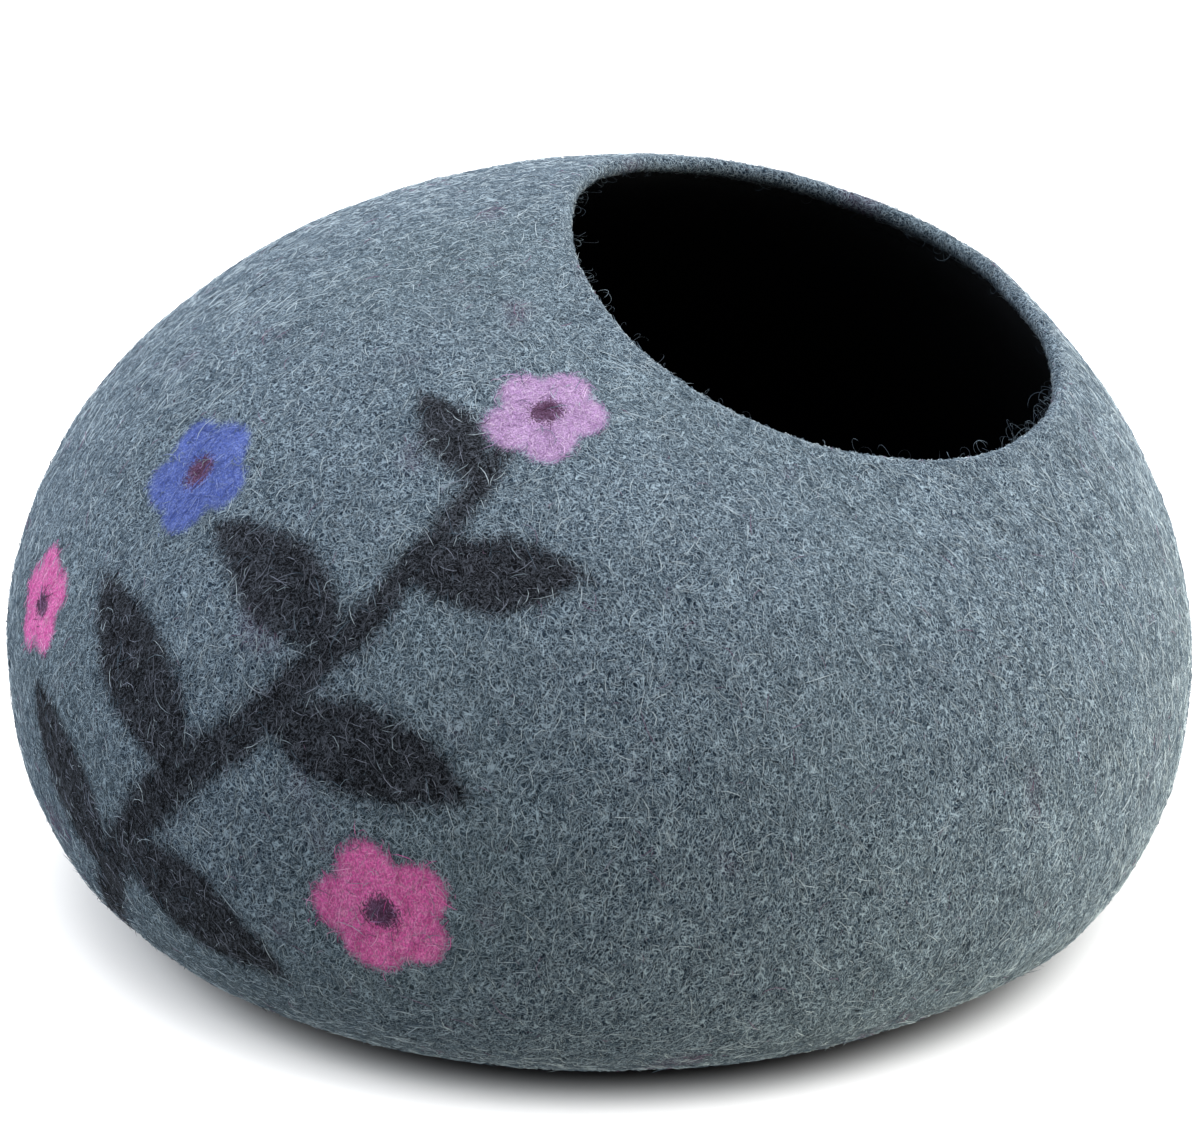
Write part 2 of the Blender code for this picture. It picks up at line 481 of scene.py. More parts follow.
def wool_felt():
    """The shell's felt: slate wool with felted-in colours, darkening to near black inside."""
    tree = Tree("wool_felt")
    # Thin lines crossing every way, like fine matted wool: bands where a bent
    # noise passes its middle value.
    bend = tree.grain(230, 0.0)
    combed = tree.stretched(tree.place, 0.0, 1.8)
    bent = tree.shifted(tree.place, 0.0034, bend.outputs["Color"])
    webs = None
    for slant, scale, width, share in STRANDS:
        lines = tree.grain(scale, 0.0, at=tree.stretched(bent, slant, 2.5))
        off = tree.maths("ABSOLUTE", tree.maths("SUBTRACT", lines.outputs["Fac"], 0.5))
        lines = tree.ramp(off, 0.0, width, share, 0.0)
        webs = lines if webs is None else tree.maths("MAXIMUM", webs, lines)
    tangle = tree.grain(1500, 1.0, 0.6, at=combed)
    tone = tree.ramp(tangle.outputs["Fac"], 0.36, 0.64)

    # Slate ground: dark gaps, mid wool, pale strands, and a few soft plum patches.
    ground = tree.mix(tone, SLATE_DEEP, SLATE_MID)
    ground = tree.mix(tree.maths("MULTIPLY", webs, 0.85), ground, SLATE_PALE)
    ground = tree.mix(tree.attribute("greener"), ground, rgb(92, 108, 108))
    ground = tree.mix(tree.attribute("plum"), ground, PLUM)

    # The felted-in colours. Their edges break up along the fibres.
    ragged = tree.maths(
        "MULTIPLY", tree.maths("SUBTRACT", tangle.outputs["Fac"], 0.5), 9.0
    )

    def lay(under, name, colour, pale, strands, soft=2.2):
        edge = tree.maths("ADD", tree.attribute(name), ragged)
        share = tree.ramp(edge, soft, -soft, 0.0, 0.96)
        strand = tree.mix(tree.maths("MULTIPLY", webs, strands), colour, pale)
        toned = tree.mix(tree.maths("MULTIPLY_ADD", tone, -0.40, 0.40), strand, CHARCOAL)
        return tree.mix(share, under, toned)

    painted = lay(ground, "dark_mm", CHARCOAL, DUSK, 0.28, 4.2)
    painted = lay(painted, "pink_mm", PINK, PINK_PALE, 0.6)
    painted = lay(painted, "lilac_mm", LILAC, LILAC_PALE, 0.6)
    painted = lay(painted, "blue_mm", BLUE, BLUE_PALE, 0.5)
    painted = lay(painted, "middle_mm", PLUM, LILAC, 0.3, 1.6)

    inside = tree.maths("ADD", tree.attribute("inside_mm"), ragged)
    painted = tree.mix(tree.ramp(inside, 4.0, 15.0), painted, INSIDE)
    toned = tree.nodes.new("ShaderNodeVectorMath")
    toned.operation = "SCALE"
    tree.links.new(painted, toned.inputs[0])
    tree.links.new(
        tree.maths("MULTIPLY", tree.attribute("cloud"), wisps(tree)), toned.inputs["Scale"]
    )
    tree.links.new(toned.outputs[0], tree.shader.inputs["Base Color"])

    rough = tree.ramp(tangle.outputs["Fac"], 0.3, 0.7, 0.86, 0.97)
    tree.links.new(rough, tree.shader.inputs["Roughness"])
    tree.shader.inputs["Specular IOR Level"].default_value = 0.06
    tree.shader.inputs["Sheen Weight"].default_value = 0.06
    tree.shader.inputs["Sheen Roughness"].default_value = 0.50
    tree.shader.inputs["Sheen Tint"].default_value = (0.80, 0.86, 0.93, 1.0)

    bump = tree.nodes.new("ShaderNodeBump")
    bump.inputs["Strength"].default_value = 0.5
    bump.inputs["Distance"].default_value = 0.0006
    tree.links.new(tangle.outputs["Fac"], bump.inputs["Height"])
    tree.links.new(bump.outputs["Normal"], tree.shader.inputs["Normal"])
    return tree.material


def loose_wool():
    """The single fibres: each has its own colour, with painted shade at its ends where they dive into the felt, and
    slight streaks.
    """
    tree = Tree("loose_wool")
    streak = tree.grain(1500, 1.0, 0.5)
    colour = tree.nodes.new("ShaderNodeVectorMath")
    colour.operation = "SCALE"
    tree.links.new(tree.colour_attribute("wool"), colour.inputs[0])
    streaks = tree.ramp(streak.outputs["Fac"], 0.3, 0.7, 0.90, 1.10)
    tree.links.new(tree.maths("MULTIPLY", streaks, wisps(tree)), colour.inputs["Scale"])
    tree.links.new(colour.outputs[0], tree.shader.inputs["Base Color"])
    tree.shader.inputs["Roughness"].default_value = 0.80
    tree.shader.inputs["Specular IOR Level"].default_value = 0.04
    tree.shader.inputs["Sheen Weight"].default_value = 0.03
    tree.shader.inputs["Sheen Roughness"].default_value = 0.5
    tree.shader.inputs["Sheen Tint"].default_value = (0.86, 0.88, 0.90, 1.0)
    return tree.material


# ---------------------------------------------------------------------------
# The shell.
# ---------------------------------------------------------------------------
# Where the felt has settled inwards, broad and shallow.
SETTLED = (
    # direction in degrees, height, depth outwards, reach
    (180.0, 0.120, -0.0014, 0.150),
    (-22.0, 0.045, -0.0020, 0.080),
)


def lumps(points):
    """The slight unevenness that hands leave in felt, outwards in metres."""
    lift = (
        0.00055 * noise(points, 22, SEED + 11)
        + 0.00036 * noise(points, 45, SEED + 12)
        + 0.00014 * noise(points, 90, SEED + 13)
        - 0.0003
    )
    turn = np.arctan2(points[..., 1], points[..., 0])
    for direction, middle, depth, span in SETTLED:
        apart = turn - math.radians(direction)
        apart = np.arctan2(np.sin(apart), np.cos(apart))
        away = np.hypot(apart * BELLY_RADIUS, points[..., 2] - middle)
        lift = lift + depth * np.exp(-((away / span) ** 2))
    return lift * smooth(0.002, 0.020, points[..., 2])


def rim_start(turn):
    """How far from the mouth's middle the outer face ends, so that the round edge just reaches the rim."""
    step = 1e-3
    edge = np.full_like(turn, MOUTH_HALF_ANGLE)
    pace = (
        np.linalg.norm(felt_point(turn, edge + step) - felt_point(turn, edge), axis=-1)
        / step
    )
    ring = np.stack((np.cos(turn), np.sin(turn), np.zeros_like(turn)), -1)
    wave = 0.0007 * noise(ring, 2.6, SEED + 21) + 0.0004 * noise(ring, 7.0, SEED + 22)
    return MOUTH_HALF_ANGLE + (WALL / 2 + 0.0004 + wave) / pace


def shell_arrays():
    turn = np.linspace(0, 2 * math.pi, AROUND, endpoint=False)
    start = rim_start(turn)
    share = np.linspace(0, 1, OUTER_RINGS + 1)[:-1]
    share = share * 0.92 + 0.08 * share**2
    angle = start[None, :] + (math.pi - start)[None, :] * share[:, None]
    turns = np.broadcast_to(turn, angle.shape)
    outer = felt_point(turns.ravel(), angle.ravel())
    normal = felt_normal(turns.ravel(), angle.ravel())
    outer = outer + normal * lumps(outer)[:, None]
    outer = outer.reshape(OUTER_RINGS, AROUND, 3)
    normal = normal.reshape(OUTER_RINGS, AROUND, 3)

    # Inner face: fewer rings, a wall's thickness inside, itself a little uneven.
    inner_share = np.linspace(0, 1, INNER_RINGS + 1)[:-1]
    inner_share = inner_share * 0.92 + 0.08 * inner_share**2
    angle_in = start[None, :] + (math.pi - start)[None, :] * inner_share[:, None]
    turns_in = np.broadcast_to(turn, angle_in.shape)
    base = felt_point(turns_in.ravel(), angle_in.ravel())
    normal_in = felt_normal(turns_in.ravel(), angle_in.ravel())
    thick = WALL * (
        1
        + 0.06 * noise(base, 18, SEED + 31)
        * smooth(0.0, 0.08, np.repeat(inner_share, AROUND))
    )
    inner = base + normal_in * (lumps(base) - thick)[:, None]
    inner = inner.reshape(INNER_RINGS, AROUND, 3)

    # Round edge: half a turn from the outer face to the inner one.
    a, b = outer[0], inner[0]
    middle = (a + b) / 2
    back = outer[1] - outer[0]
    across = a - middle
    radius = np.linalg.norm(across, axis=-1, keepdims=True)
    across = across / radius
    back = back - (back * across).sum(-1, keepdims=True) * across
    back = back / np.linalg.norm(back, axis=-1, keepdims=True)
    rim = []
    for k in range(1, RIM_STEPS):
        phi = math.pi * k / RIM_STEPS
        rim.append(
            middle + radius * (math.cos(phi) * across - 1.04 * math.sin(phi) * back)
        )
    rim = np.array(rim)
    return turn, start, outer, normal, rim, inner


def shell_mesh(material):
    turn, start, outer, normal, rim, inner = shell_arrays()
    rows = [*inner[::-1], *rim[::-1], *outer]
    points = np.concatenate(rows)
    # The poles: the middle of the base, inside and outside.
    foot = felt_point(np.array([0.0]), np.array([math.pi]))[0]
    points = np.concatenate((points, [foot + np.array((0, 0, WALL))], [foot]))
    points[:, 2] = np.maximum(points[:, 2], 0.0)
    n_rows = len(rows)
    k = np.arange(n_rows - 1)[:, None] * AROUND
    j = np.arange(AROUND)[None, :]
    nxt = (j + 1) % AROUND
    quads = np.stack((k + j, k + AROUND + j, k + AROUND + nxt, k + nxt), -1).reshape(
        -1, 4
    )
    in_pole, out_pole = n_rows * AROUND, n_rows * AROUND + 1
    j = np.arange(AROUND)
    nxt = (j + 1) % AROUND
    caps = [(in_pole, a, b) for a, b in zip(j, nxt)]
    last = (n_rows - 1) * AROUND
    caps += [(out_pole, last + b, last + a) for a, b in zip(j, nxt)]
    mesh = bpy.data.meshes.new("felt_shell_wool")
    mesh.from_pydata(points.tolist(), [], quads.tolist() + caps)
    mesh.validate()
    mesh.shade_smooth()
    mesh.materials.append(material)

    def store(name, values):
        layer = mesh.attributes.new(name, "FLOAT", "POINT")
        layer.data.foreach_set("value", np.asarray(values, np.float32))

    for name, values in wool_places(points).items():
        store(name + "_mm", np.clip(values, -40, 40))

    # Soft variation of the wool's tone, by whole handfuls of it.
    tone = (
        1
        + 0.055 * noise(points, 15, SEED + 51)
        + 0.060 * noise(points, 42, SEED + 52)
        + 0.085 * noise(points, 90, SEED + 53)
    )
    store("cloud", tone)
    store("greener", 0.18 * smooth(-0.1, 0.7, noise(points, 8, SEED + 54)))
    store("plum", 0.30 * plum_patches(points))

    # How far inside a place lies: below zero outside, zero at the edge's tip.
    depth = np.full(len(points), -30.0)
    n_in, n_rim = len(inner), len(rim)
    run = np.concatenate(
        (
            np.zeros((1, AROUND)),
            np.cumsum(np.linalg.norm(np.diff(inner, axis=0), axis=-1), axis=0),
        )
    )
    half = WALL * math.pi / 4
    for row in range(n_in):
        depth[row * AROUND : (row + 1) * AROUND] = (
            half + run[n_in - 1 - row]
        ) * 1000
    for row in range(n_rim):
        phi = math.pi * (n_rim - row) / RIM_STEPS
        depth[(n_in + row) * AROUND : (n_in + row + 1) * AROUND] = (
            (phi - math.pi / 2) * WALL / 2 * 1000
        )
    run = np.concatenate(
        (
            np.zeros((1, AROUND)),
            np.cumsum(np.linalg.norm(np.diff(outer, axis=0), axis=-1), axis=0),
        )
    )
    for row in range(len(outer)):
        at = n_in + n_rim + row
        depth[at * AROUND : (at + 1) * AROUND] = -(half + run[row]) * 1000
    depth[in_pole] = 300
    store("inside_mm", np.clip(depth, -40, 40))
    return mesh


# ---------------------------------------------------------------------------
# Loose wool on the surface.
# ---------------------------------------------------------------------------
def scatter(count, rng, low_z=0.004):
    """Random places on the outer face, evenly spread, as angles, points and normals."""
    found_t, found_a = [], []
    have = 0
    while have < count:
        n = 400_000
        t = rng.uniform(0, 2 * math.pi, n)
        a = rng.uniform(MOUTH_HALF_ANGLE + 0.004, math.pi - 0.3, n)
        step = 1e-3
        p = felt_point(t, a)
        du = (felt_point(t + step, a) - p) / step
        dv = (felt_point(t, a + step) - p) / step
        size = np.linalg.norm(np.cross(du, dv), axis=-1)
        keep = (rng.uniform(0, 0.075, n) < size) & (p[:, 2] > low_z)
        keep &= a > rim_start(t)
        found_t.append(t[keep])
        found_a.append(a[keep])
        have += int(keep.sum())
    t = np.concatenate(found_t)[:count]
    a = np.concatenate(found_a)[:count]
    p = felt_point(t, a)
    n = felt_normal(t, a)
    # The way to the mouth, and how far its round edge is.
    toward = felt_point(t, a - step) - p
    pace = np.linalg.norm(toward, axis=-1)
    toward /= pace[:, None]
    room = (a - rim_start(t)) * pace / step
    p = p + n * lumps(p)[:, None]
    return p, n, toward, room


def wrapped(centre, root, normal, toward, room):
    """Fibres laid over the mouth's round edge, where they reach past the room left on the flat."""
    radius = WALL / 2
    run = ((centre - root[:, None, :]) * toward[:, None, :]).sum(-1)
    past = np.abs(run) - room[:, None]
    past = np.where(past > 0, past, 0.0)
    turned = np.minimum(past / radius, math.pi)
    back = (past - radius * np.sin(turned)) * np.sign(run)
    down = radius * (1 - np.cos(turned))
    return (
        centre
        - back[..., None] * toward[:, None, :]
        - down[..., None] * normal[:, None, :]
    )


def plum_patches(points):
    """Where a little plum wool has been felted in by chance, 0 to 1."""
    return smooth(0.52, 0.88, noise(points, 34, SEED + 55))


def shades(points, rng):
    """A colour for each fibre, from where its root lies."""
    n = len(points)
    places = wool_places(points)
    lightness = rng.beta(1.7, 1.15, n)
    dark, mid, pale = (
        np.array(rgb(*c)[:3]) for c in ((54, 69, 84), (98, 117, 133), (202, 219, 230))
    )
    colour = np.where(
        lightness[:, None] < 0.5,
        dark + (mid - dark) * (lightness[:, None] * 2),
        mid + (pale - mid) * (lightness[:, None] * 2 - 1),
    )
    stray = rng.uniform(size=n)
    colour = np.where(
        (stray < 0.010 + 0.22 * plum_patches(points))[:, None],
        np.array(rgb(128, 104, 130)[:3]),
        colour,
    )
    colour = np.where(
        (stray > 0.992)[:, None], np.array(CHARCOAL[:3]), colour
    )

    def dye(mask_mm, shade, pale, paler, miss, strewn):
        nonlocal colour
        edge = mask_mm + rng.normal(0, strewn, n)
        hit = (edge < 0) & (rng.uniform(size=n) > miss)
        share = np.where(rng.uniform(size=n) < paler, rng.uniform(0.3, 1.0, n), 0.0)
        tint = np.array(shade[:3]) + (np.array(pale[:3]) - np.array(shade[:3])) * (
            share[:, None]
        )
        tint = tint * rng.uniform(0.75, 1.2, (n, 1))
        colour = np.where(hit[:, None], tint, colour)

    dye(places["dark"], rgb(15, 16, 20), DUSK, 0.42, 0.07, 3.0)
    dye(places["pink"], rgb(240, 108, 190), PINK_PALE, 0.36, 0.04, 1.8)
    dye(places["lilac"], rgb(188, 152, 204), LILAC_PALE, 0.40, 0.05, 1.8)
    dye(places["blue"], rgb(90, 110, 188), BLUE_PALE, 0.35, 0.06, 1.8)
    dye(places["middle"], rgb(96, 62, 92), LILAC, 0.20, 0.20, 1.2)
    return np.clip(colour, 0.002, 0.95)


def fibre_piece(name, centre, normal, colours, half_width, material):
    """One mesh of closed thin tapering fibres. centre is (fibres, steps, 3), and the ends are points."""
    count, steps, _ = centre.shape
    rings = steps - 2
    along = np.empty_like(centre)
    along[:, 1:-1] = centre[:, 2:] - centre[:, :-2]
    along[:, 0] = centre[:, 1] - centre[:, 0]
    along[:, -1] = centre[:, -1] - centre[:, -2]
    along /= np.maximum(np.linalg.norm(along, axis=-1, keepdims=True), 1e-9)
    side = np.cross(along, normal[:, None, :])
    side /= np.maximum(np.linalg.norm(side, axis=-1, keepdims=True), 1e-9)
    upward = np.cross(side, along)
    taper = np.sin(np.linspace(0, math.pi, steps))[1:-1] ** 0.5
    thick = half_width[:, None] * taper[None, :]
    per = 2 + 3 * rings
    verts = np.empty((count, per, 3))
    facing = np.repeat(normal[:, None, :], per, 1)
    verts[:, 0] = centre[:, 0]
    verts[:, -1] = centre[:, -1]
    for k in range(3):
        phi = math.radians(90 - 120 * k)
        ring = centre[:, 1:-1] + thick[..., None] * (
            math.cos(phi) * side[:, 1:-1] + math.sin(phi) * upward[:, 1:-1]
        )
        verts[:, 1 + k : 1 + k + 3 * rings : 3][:, :rings] = ring
        round_ = math.cos(phi) * side[:, 1:-1] + math.sin(phi) * upward[:, 1:-1]
        facing[:, 1 + k : 1 + k + 3 * rings : 3][:, :rings] += 0.45 * round_
    verts[..., 2] = np.maximum(verts[..., 2], 0.0002)
    faces = []
    for k in range(3):
        faces.append((0, 1 + (k + 1) % 3, 1 + k))
    for r in range(rings - 1):
        b = 1 + 3 * r
        for k in range(3):
            m = (k + 1) % 3
            faces.append((b + k, b + m, b + 3 + m))
            faces.append((b + k, b + 3 + m, b + 3 + k))
    b = 1 + 3 * (rings - 1)
    for k in range(3):
        faces.append((b + k, b + (k + 1) % 3, per - 1))
    faces = np.array(faces)
    all_faces = (
        np.arange(count)[:, None, None] * per + faces[None]
    ).reshape(-1, 3)
    mesh = bpy.data.meshes.new(name)
    n_v, n_f = count * per, len(all_faces)
    mesh.vertices.add(n_v)
    mesh.vertices.foreach_set("co", verts.astype(np.float32).ravel())
    mesh.loops.add(n_f * 3)
    mesh.loops.foreach_set("vertex_index", all_faces.astype(np.int32).ravel())
    mesh.polygons.add(n_f)
    mesh.polygons.foreach_set("loop_start", np.arange(0, n_f * 3, 3, dtype=np.int32))
    mesh.update(calc_edges=True)
    mesh.shade_smooth()
    # Each fibre's colour, with painted shade at both ends, where it dives into the felt.
    fade = np.ones(per)
    fade[0] = fade[-1] = 0.72
    rgba = np.ones((count, per, 4))
    rgba[..., :3] = colours[:, None, :] * fade[None, :, None]
    layer = mesh.attributes.new("wool", "FLOAT_COLOR", "POINT")
    layer.data.foreach_set("color", rgba.astype(np.float32).ravel())
    # Each fibre has a small square of its own to be baked in.
    side_cells = math.ceil(math.sqrt(count))
    cell = np.arange(count)
    corner = np.stack((cell % side_cells, cell // side_cells), -1) / side_cells
    local = np.zeros((per, 2))
    local[0] = (0.5, 0.12)
    local[-1] = (0.5, 0.88)
    for r in range(rings):
        v = 0.12 + 0.76 * (r + 1) / (rings + 1)
        for k in range(3):
            local[1 + 3 * r + k] = (0.15 + 0.35 * k, v)
    uv_of_vertex = corner[:, None, :] + local[None] / side_cells
    uv = uv_of_vertex.reshape(-1, 2)[all_faces.ravel()]
    layer = mesh.uv_layers.new(name="OFBake")
    layer.data.foreach_set("uv", uv.astype(np.float32).ravel())
    mesh.materials.append(material)
    mesh.validate()
    # So thin a fibre is lit like the felt it lies on, with only a little roundness.
    facing /= np.linalg.norm(facing, axis=-1, keepdims=True)
    mesh.normals_split_custom_set_from_vertices(facing.reshape(-1, 3))
    thing = bpy.data.objects.new(name, mesh)
    bpy.context.scene.collection.objects.link(thing)
    return thing


def rim_places(count, rng):
    """Random places on the mouth's round edge and on the inner face below it."""
    t = rng.uniform(0, 2 * math.pi, count)
    start = rim_start(t)
    step = 1e-3
    edge = felt_point(t, start)
    normal = felt_normal(t, start)
    back = felt_point(t, start + step) - edge
    pace = np.linalg.norm(back, axis=-1) / step
    back /= (pace * step)[:, None]
    half = WALL / 2
    turned = math.pi * half
    run = turned * rng.uniform(-0.05, 1.0, count)
    run = np.where(
        rng.uniform(size=count) < 0.50, turned + 0.026 * rng.uniform(size=count) ** 1.3, run
    )
    phi = np.clip(run / half, 0.0, math.pi)
    inward = np.maximum(run - turned, 0.0)
    away = np.cos(phi)[:, None] * normal - np.sin(phi)[:, None] * back
    on_edge = edge + normal * lumps(edge)[:, None] - normal * half + away * half
    down = start + inward / pace
    inner = felt_point(t, down)
    n_in = felt_normal(t, down)
    inner = inner + n_in * (lumps(inner) - WALL)[:, None]
    deep = (inward > 0)[:, None]
    root = np.where(deep, inner, on_edge)
    way = np.where(deep, -n_in, away)
    # Across the round edge the felt turns at once, and further in it is flat.
    across = np.sin(phi)[:, None] * normal + np.cos(phi)[:, None] * back
    room = np.where(deep[:, 0], 1.0, 0.0)
    return root, way, (run - turned / 2) * 1000, across, room


def lying_fibres(
    name, root, normal, colours, steps, length, width, rng, material, fly, toward, room
):
    """Curved fibres lying on the felt, their ends in it and their middles lifted."""
    count = len(root)
    # Directions in the felt's face.
    up = np.array((0.0, 0.0, 1.0))
    east = np.cross(up, normal)
    east /= np.maximum(np.linalg.norm(east, axis=-1, keepdims=True), 1e-6)
    north = np.cross(normal, east)
    heading = rng.uniform(0, math.pi, count)
    # Upright on the sides, and level low down.
    low = smooth(0.075, 0.025, root[:, 2]) * smooth(0.10, 0.0, root[:, 0])
    flow = 0.5 * math.pi * (1 - low)
    flow = flow + 0.6 * noise(root, 14, SEED + 41)
    lean = rng.uniform(size=count) < 0.46 + 0.36 * smooth(0.04, 0.16, root[:, 0])
    heading = np.where(lean, flow + rng.normal(0, 0.42, count), heading)
    size = rng.uniform(length[0], length[1], count) * rng.uniform(0.75, 1.0, count)
    bend = rng.normal(0, 1.0, count) * 1.1
    s = np.linspace(-0.5, 0.5, steps)
    angle = heading[:, None] + bend[:, None] * s[None, :] * 1.6
    # Walk along the curve from its middle.
    ds = size[:, None] / (steps - 1)
    dx, dy = np.cos(angle) * ds, np.sin(angle) * ds
    x = np.cumsum(dx, 1)
    y = np.cumsum(dy, 1)
    x -= x.mean(1, keepdims=True)
    y -= y.mean(1, keepdims=True)
    lift = rng.uniform(0.00018, 0.00075, count)
    arch = np.sin(np.linspace(0, math.pi, steps)) ** 0.7
    high = -0.00012 + (lift[:, None] + 0.00012) * arch[None, :]
    loose = rng.uniform(size=count) < fly
    free = np.linspace(0, 1, steps) ** 1.5
    free_high = rng.uniform(0.0007, 0.0022, count)[:, None] * free[None, :]
    high = np.where(loose[:, None], np.maximum(free_high, -0.0001), high)
    flat = (x**2 + y**2) / (2 * 0.20)
    high = high - flat
    centre = (
        root[:, None, :]
        + x[..., None] * east[:, None, :]
        + y[..., None] * north[:, None, :]
        + high[..., None] * normal[:, None, :]
    )
    centre = wrapped(centre, root, normal, toward, room)
    half_width = rng.uniform(width[0], width[1], count) / 2
    return fibre_piece(name, centre, normal, colours, half_width, material)


# Where the loose curls gather round the mouth: angle and spread in radians.
CURL_CLUSTERS = (
    (-0.62, 0.13),
    (-0.28, 0.08),
    (2.60, 0.22),
    (3.35, 0.20),
    (1.10, 0.25),
)


def rim_curls(name, count, rng, material):
    """Long loose curls round the mouth's edge, more of them on its low side and just inside."""
    t = rng.uniform(0, 2 * math.pi, count)
    cluster = rng.integers(0, len(CURL_CLUSTERS), count)
    middle, spread = np.array(CURL_CLUSTERS)[cluster].T
    t = np.where(rng.uniform(size=count) < 0.55, rng.normal(middle, spread), t)
    start = rim_start(t)
    a = start + rng.uniform(-0.012, 0.02, count)
    outer = felt_point(t, a)
    normal = felt_normal(t, a)
    step = 1e-3
    back = felt_point(t, a + step) - outer
    back /= np.linalg.norm(back, axis=-1, keepdims=True)
    around = np.cross(back, normal)
    phi = rng.uniform(0.40 * math.pi, 1.0 * math.pi, count)
    radius = WALL / 2
    out = np.cos(phi)[:, None] * normal - np.sin(phi)[:, None] * back
    deeper = np.where(
        rng.uniform(size=count) < 0.5, rng.uniform(0.0, 0.030, count), 0.0
    )
    deeper = np.where(phi > 0.8 * math.pi, deeper, 0.0)
    root = (
        felt_point(t, start)
        - normal * radius
        + out * radius
        + back * deeper[:, None]
    )
    steps = 10
    size = rng.uniform(0.0045, 0.017, count) * rng.uniform(0.6, 1.0, count)
    turns = rng.uniform(1.2, 5.0, count) * rng.choice((-1, 1), count)
    s = np.linspace(0, 1, steps)
    heading = rng.uniform(0, 2 * math.pi, count)
    # Each curl wanders in its own plane near the felt.
    first = around * np.cos(heading)[:, None] + back * np.sin(heading)[:, None]
    first /= np.linalg.norm(first, axis=-1, keepdims=True)
    second = np.cross(out, first)
    angle = turns[:, None] * s[None, :]
    ds = size[:, None] / (steps - 1)
    x = np.cumsum(np.cos(angle) * ds, 1)
    y = np.cumsum(np.sin(angle) * ds, 1)
    lift = rng.uniform(0.001, 0.0045, count)[:, None] * np.sin(s * math.pi * 0.8)[None]
    centre = (
        root[:, None, :]
        + x[..., None] * first[:, None, :]
        + y[..., None] * second[:, None, :]
        + lift[..., None] * out[:, None, :]
    )
    tone = rng.uniform(size=count)
    colours = np.where(
        (tone < 0.5)[:, None],
        np.array(rgb(104, 120, 132)[:3]),
        np.array(rgb(60, 72, 84)[:3]),
    ) * rng.uniform(0.7, 1.25, (count, 1))
    half_width = rng.uniform(0.00014, 0.00022, count) / 2
    return fibre_piece(name, centre, out, colours, half_width, material)


FIBRES = (
    ("short_fibres_1", 5000, 29000, 3, (0.0034, 0.0076), (0.00018, 0.00030), 0.08),
    ("short_fibres_2", 5000, 29000, 3, (0.0038, 0.0084), (0.00018, 0.00030), 0.08),
    ("curved_fibres_1", 3000, 13000, 4, (0.0070, 0.0135), (0.00020, 0.00031), 0.06),
    ("curved_fibres_2", 3000, 13000, 4, (0.0070, 0.0135), (0.00020, 0.00031), 0.06),
    ("long_fibres", 2500, 5500, 5, (0.0100, 0.0200), (0.00022, 0.00034), 0.12),
)


def build():
    felt = wool_felt()
    wool = loose_wool()
    shell = bpy.data.objects.new("felt_shell_wool", shell_mesh(felt))
    bpy.context.scene.collection.objects.link(shell)
    rng = np.random.default_rng(SEED)
    pieces = []
    for name, few, many, steps, length, width, fly in FIBRES:
        root, normal, toward, room = scatter(many, rng)
        colours = shades(root, rng)
        pieces.append(
            lying_fibres(
                name, root, normal, colours, steps, length, width, rng, wool, fly, toward, room
            )
        )
    root, normal, depth, across, room = rim_places(7000, rng)
    colours = shades(root, rng)
    inside = smooth(3.0, 14.0, depth + rng.normal(0, 1.2, len(depth)))[:, None]
    colours = colours * (1 - inside) + np.array(rgb(16, 18, 25)[:3]) * inside
    pieces.append(
        lying_fibres(
            "rim_fibres", root, normal, colours, 3, (0.003, 0.0075), (0.0002, 0.00032), rng, wool, 0.05, across, room
        )
    )
    pieces.append(rim_curls("mouth_curls", 280, rng, wool))
    for piece in (shell, *pieces):
        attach(piece, "root")
    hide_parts("felt_shell")


# ---------------------------------------------------------------------------
# Floor, light and camera.
# ---------------------------------------------------------------------------
def stage():
    tree = Tree("pale_floor")
    dust = tree.grain(3.0, 3.0, 0.5)
    pale = tree.mix(
        tree.ramp(dust.outputs["Fac"], 0.3, 0.7),
        (0.90, 0.90, 0.90, 1.0),
        (0.93, 0.93, 0.93, 1.0),
    )
    # Painted contact shadow: the floor's colour darkens to near black under the belly, hidden from above by the cave
    # itself.
    away = tree.nodes.new("ShaderNodeVectorMath")
    away.operation = "DISTANCE"
    tree.links.new(tree.place, away.inputs[0])
    away.inputs[1].default_value = (0.0046, -0.0083, 0.0)
    past_painted_shadow = tree.ramp(away.outputs["Value"], 0.170, 0.211)
    tree.links.new(
        tree.mix(past_painted_shadow, (0.008, 0.008, 0.008, 1.0), pale), tree.shader.inputs["Base Color"]
    )
    tree.shader.inputs["Roughness"].default_value = 0.9
    tree.shader.inputs["Specular IOR Level"].default_value = 0.1
    mesh = bpy.data.meshes.new("floor")
    size = 12.0
    mesh.from_pydata(
        [(-size, -size, 0), (size, -size, 0), (size, size, 0), (-size, size, 0)],
        [],
        [(0, 1, 2, 3)],
    )
    mesh.materials.append(tree.material)
    floor = bpy.data.objects.new("floor", mesh)
    bpy.context.scene.collection.objects.link(floor)
    floor.location.z = -0.0002
    floor.visible_diffuse = False
    floor.visible_glossy = False
    # The part of the floor under the belly does shade the felt above it; it has the floor's material, painted
    # contact shadow and all.
    rounds = 64
    under = bpy.data.meshes.new("floor_under")
    under.from_pydata(
        [
            (
                0.0046 + 0.204 * math.cos(2 * math.pi * k / rounds),
                -0.0083 + 0.204 * math.sin(2 * math.pi * k / rounds),
                0.0,
            )
            for k in range(rounds)
        ],
        [],
        [tuple(range(rounds))],
    )
    under.materials.append(tree.material)
    shade = bpy.data.objects.new("floor_under", under)
    bpy.context.scene.collection.objects.link(shade)
    shade.location.z = -0.0001


# Strengths of the light. The floor's own bounce on the felt is part of the surroundings.
KEY = 2.40
WALL_FRONT = 0.16
WALL_SIDES = 1.06
WALL_RIGHT = 4.3
WALL_LEFT = 2.8
FLOOR_BOUNCE = 0.53
FLOOR_FILL = 4.3


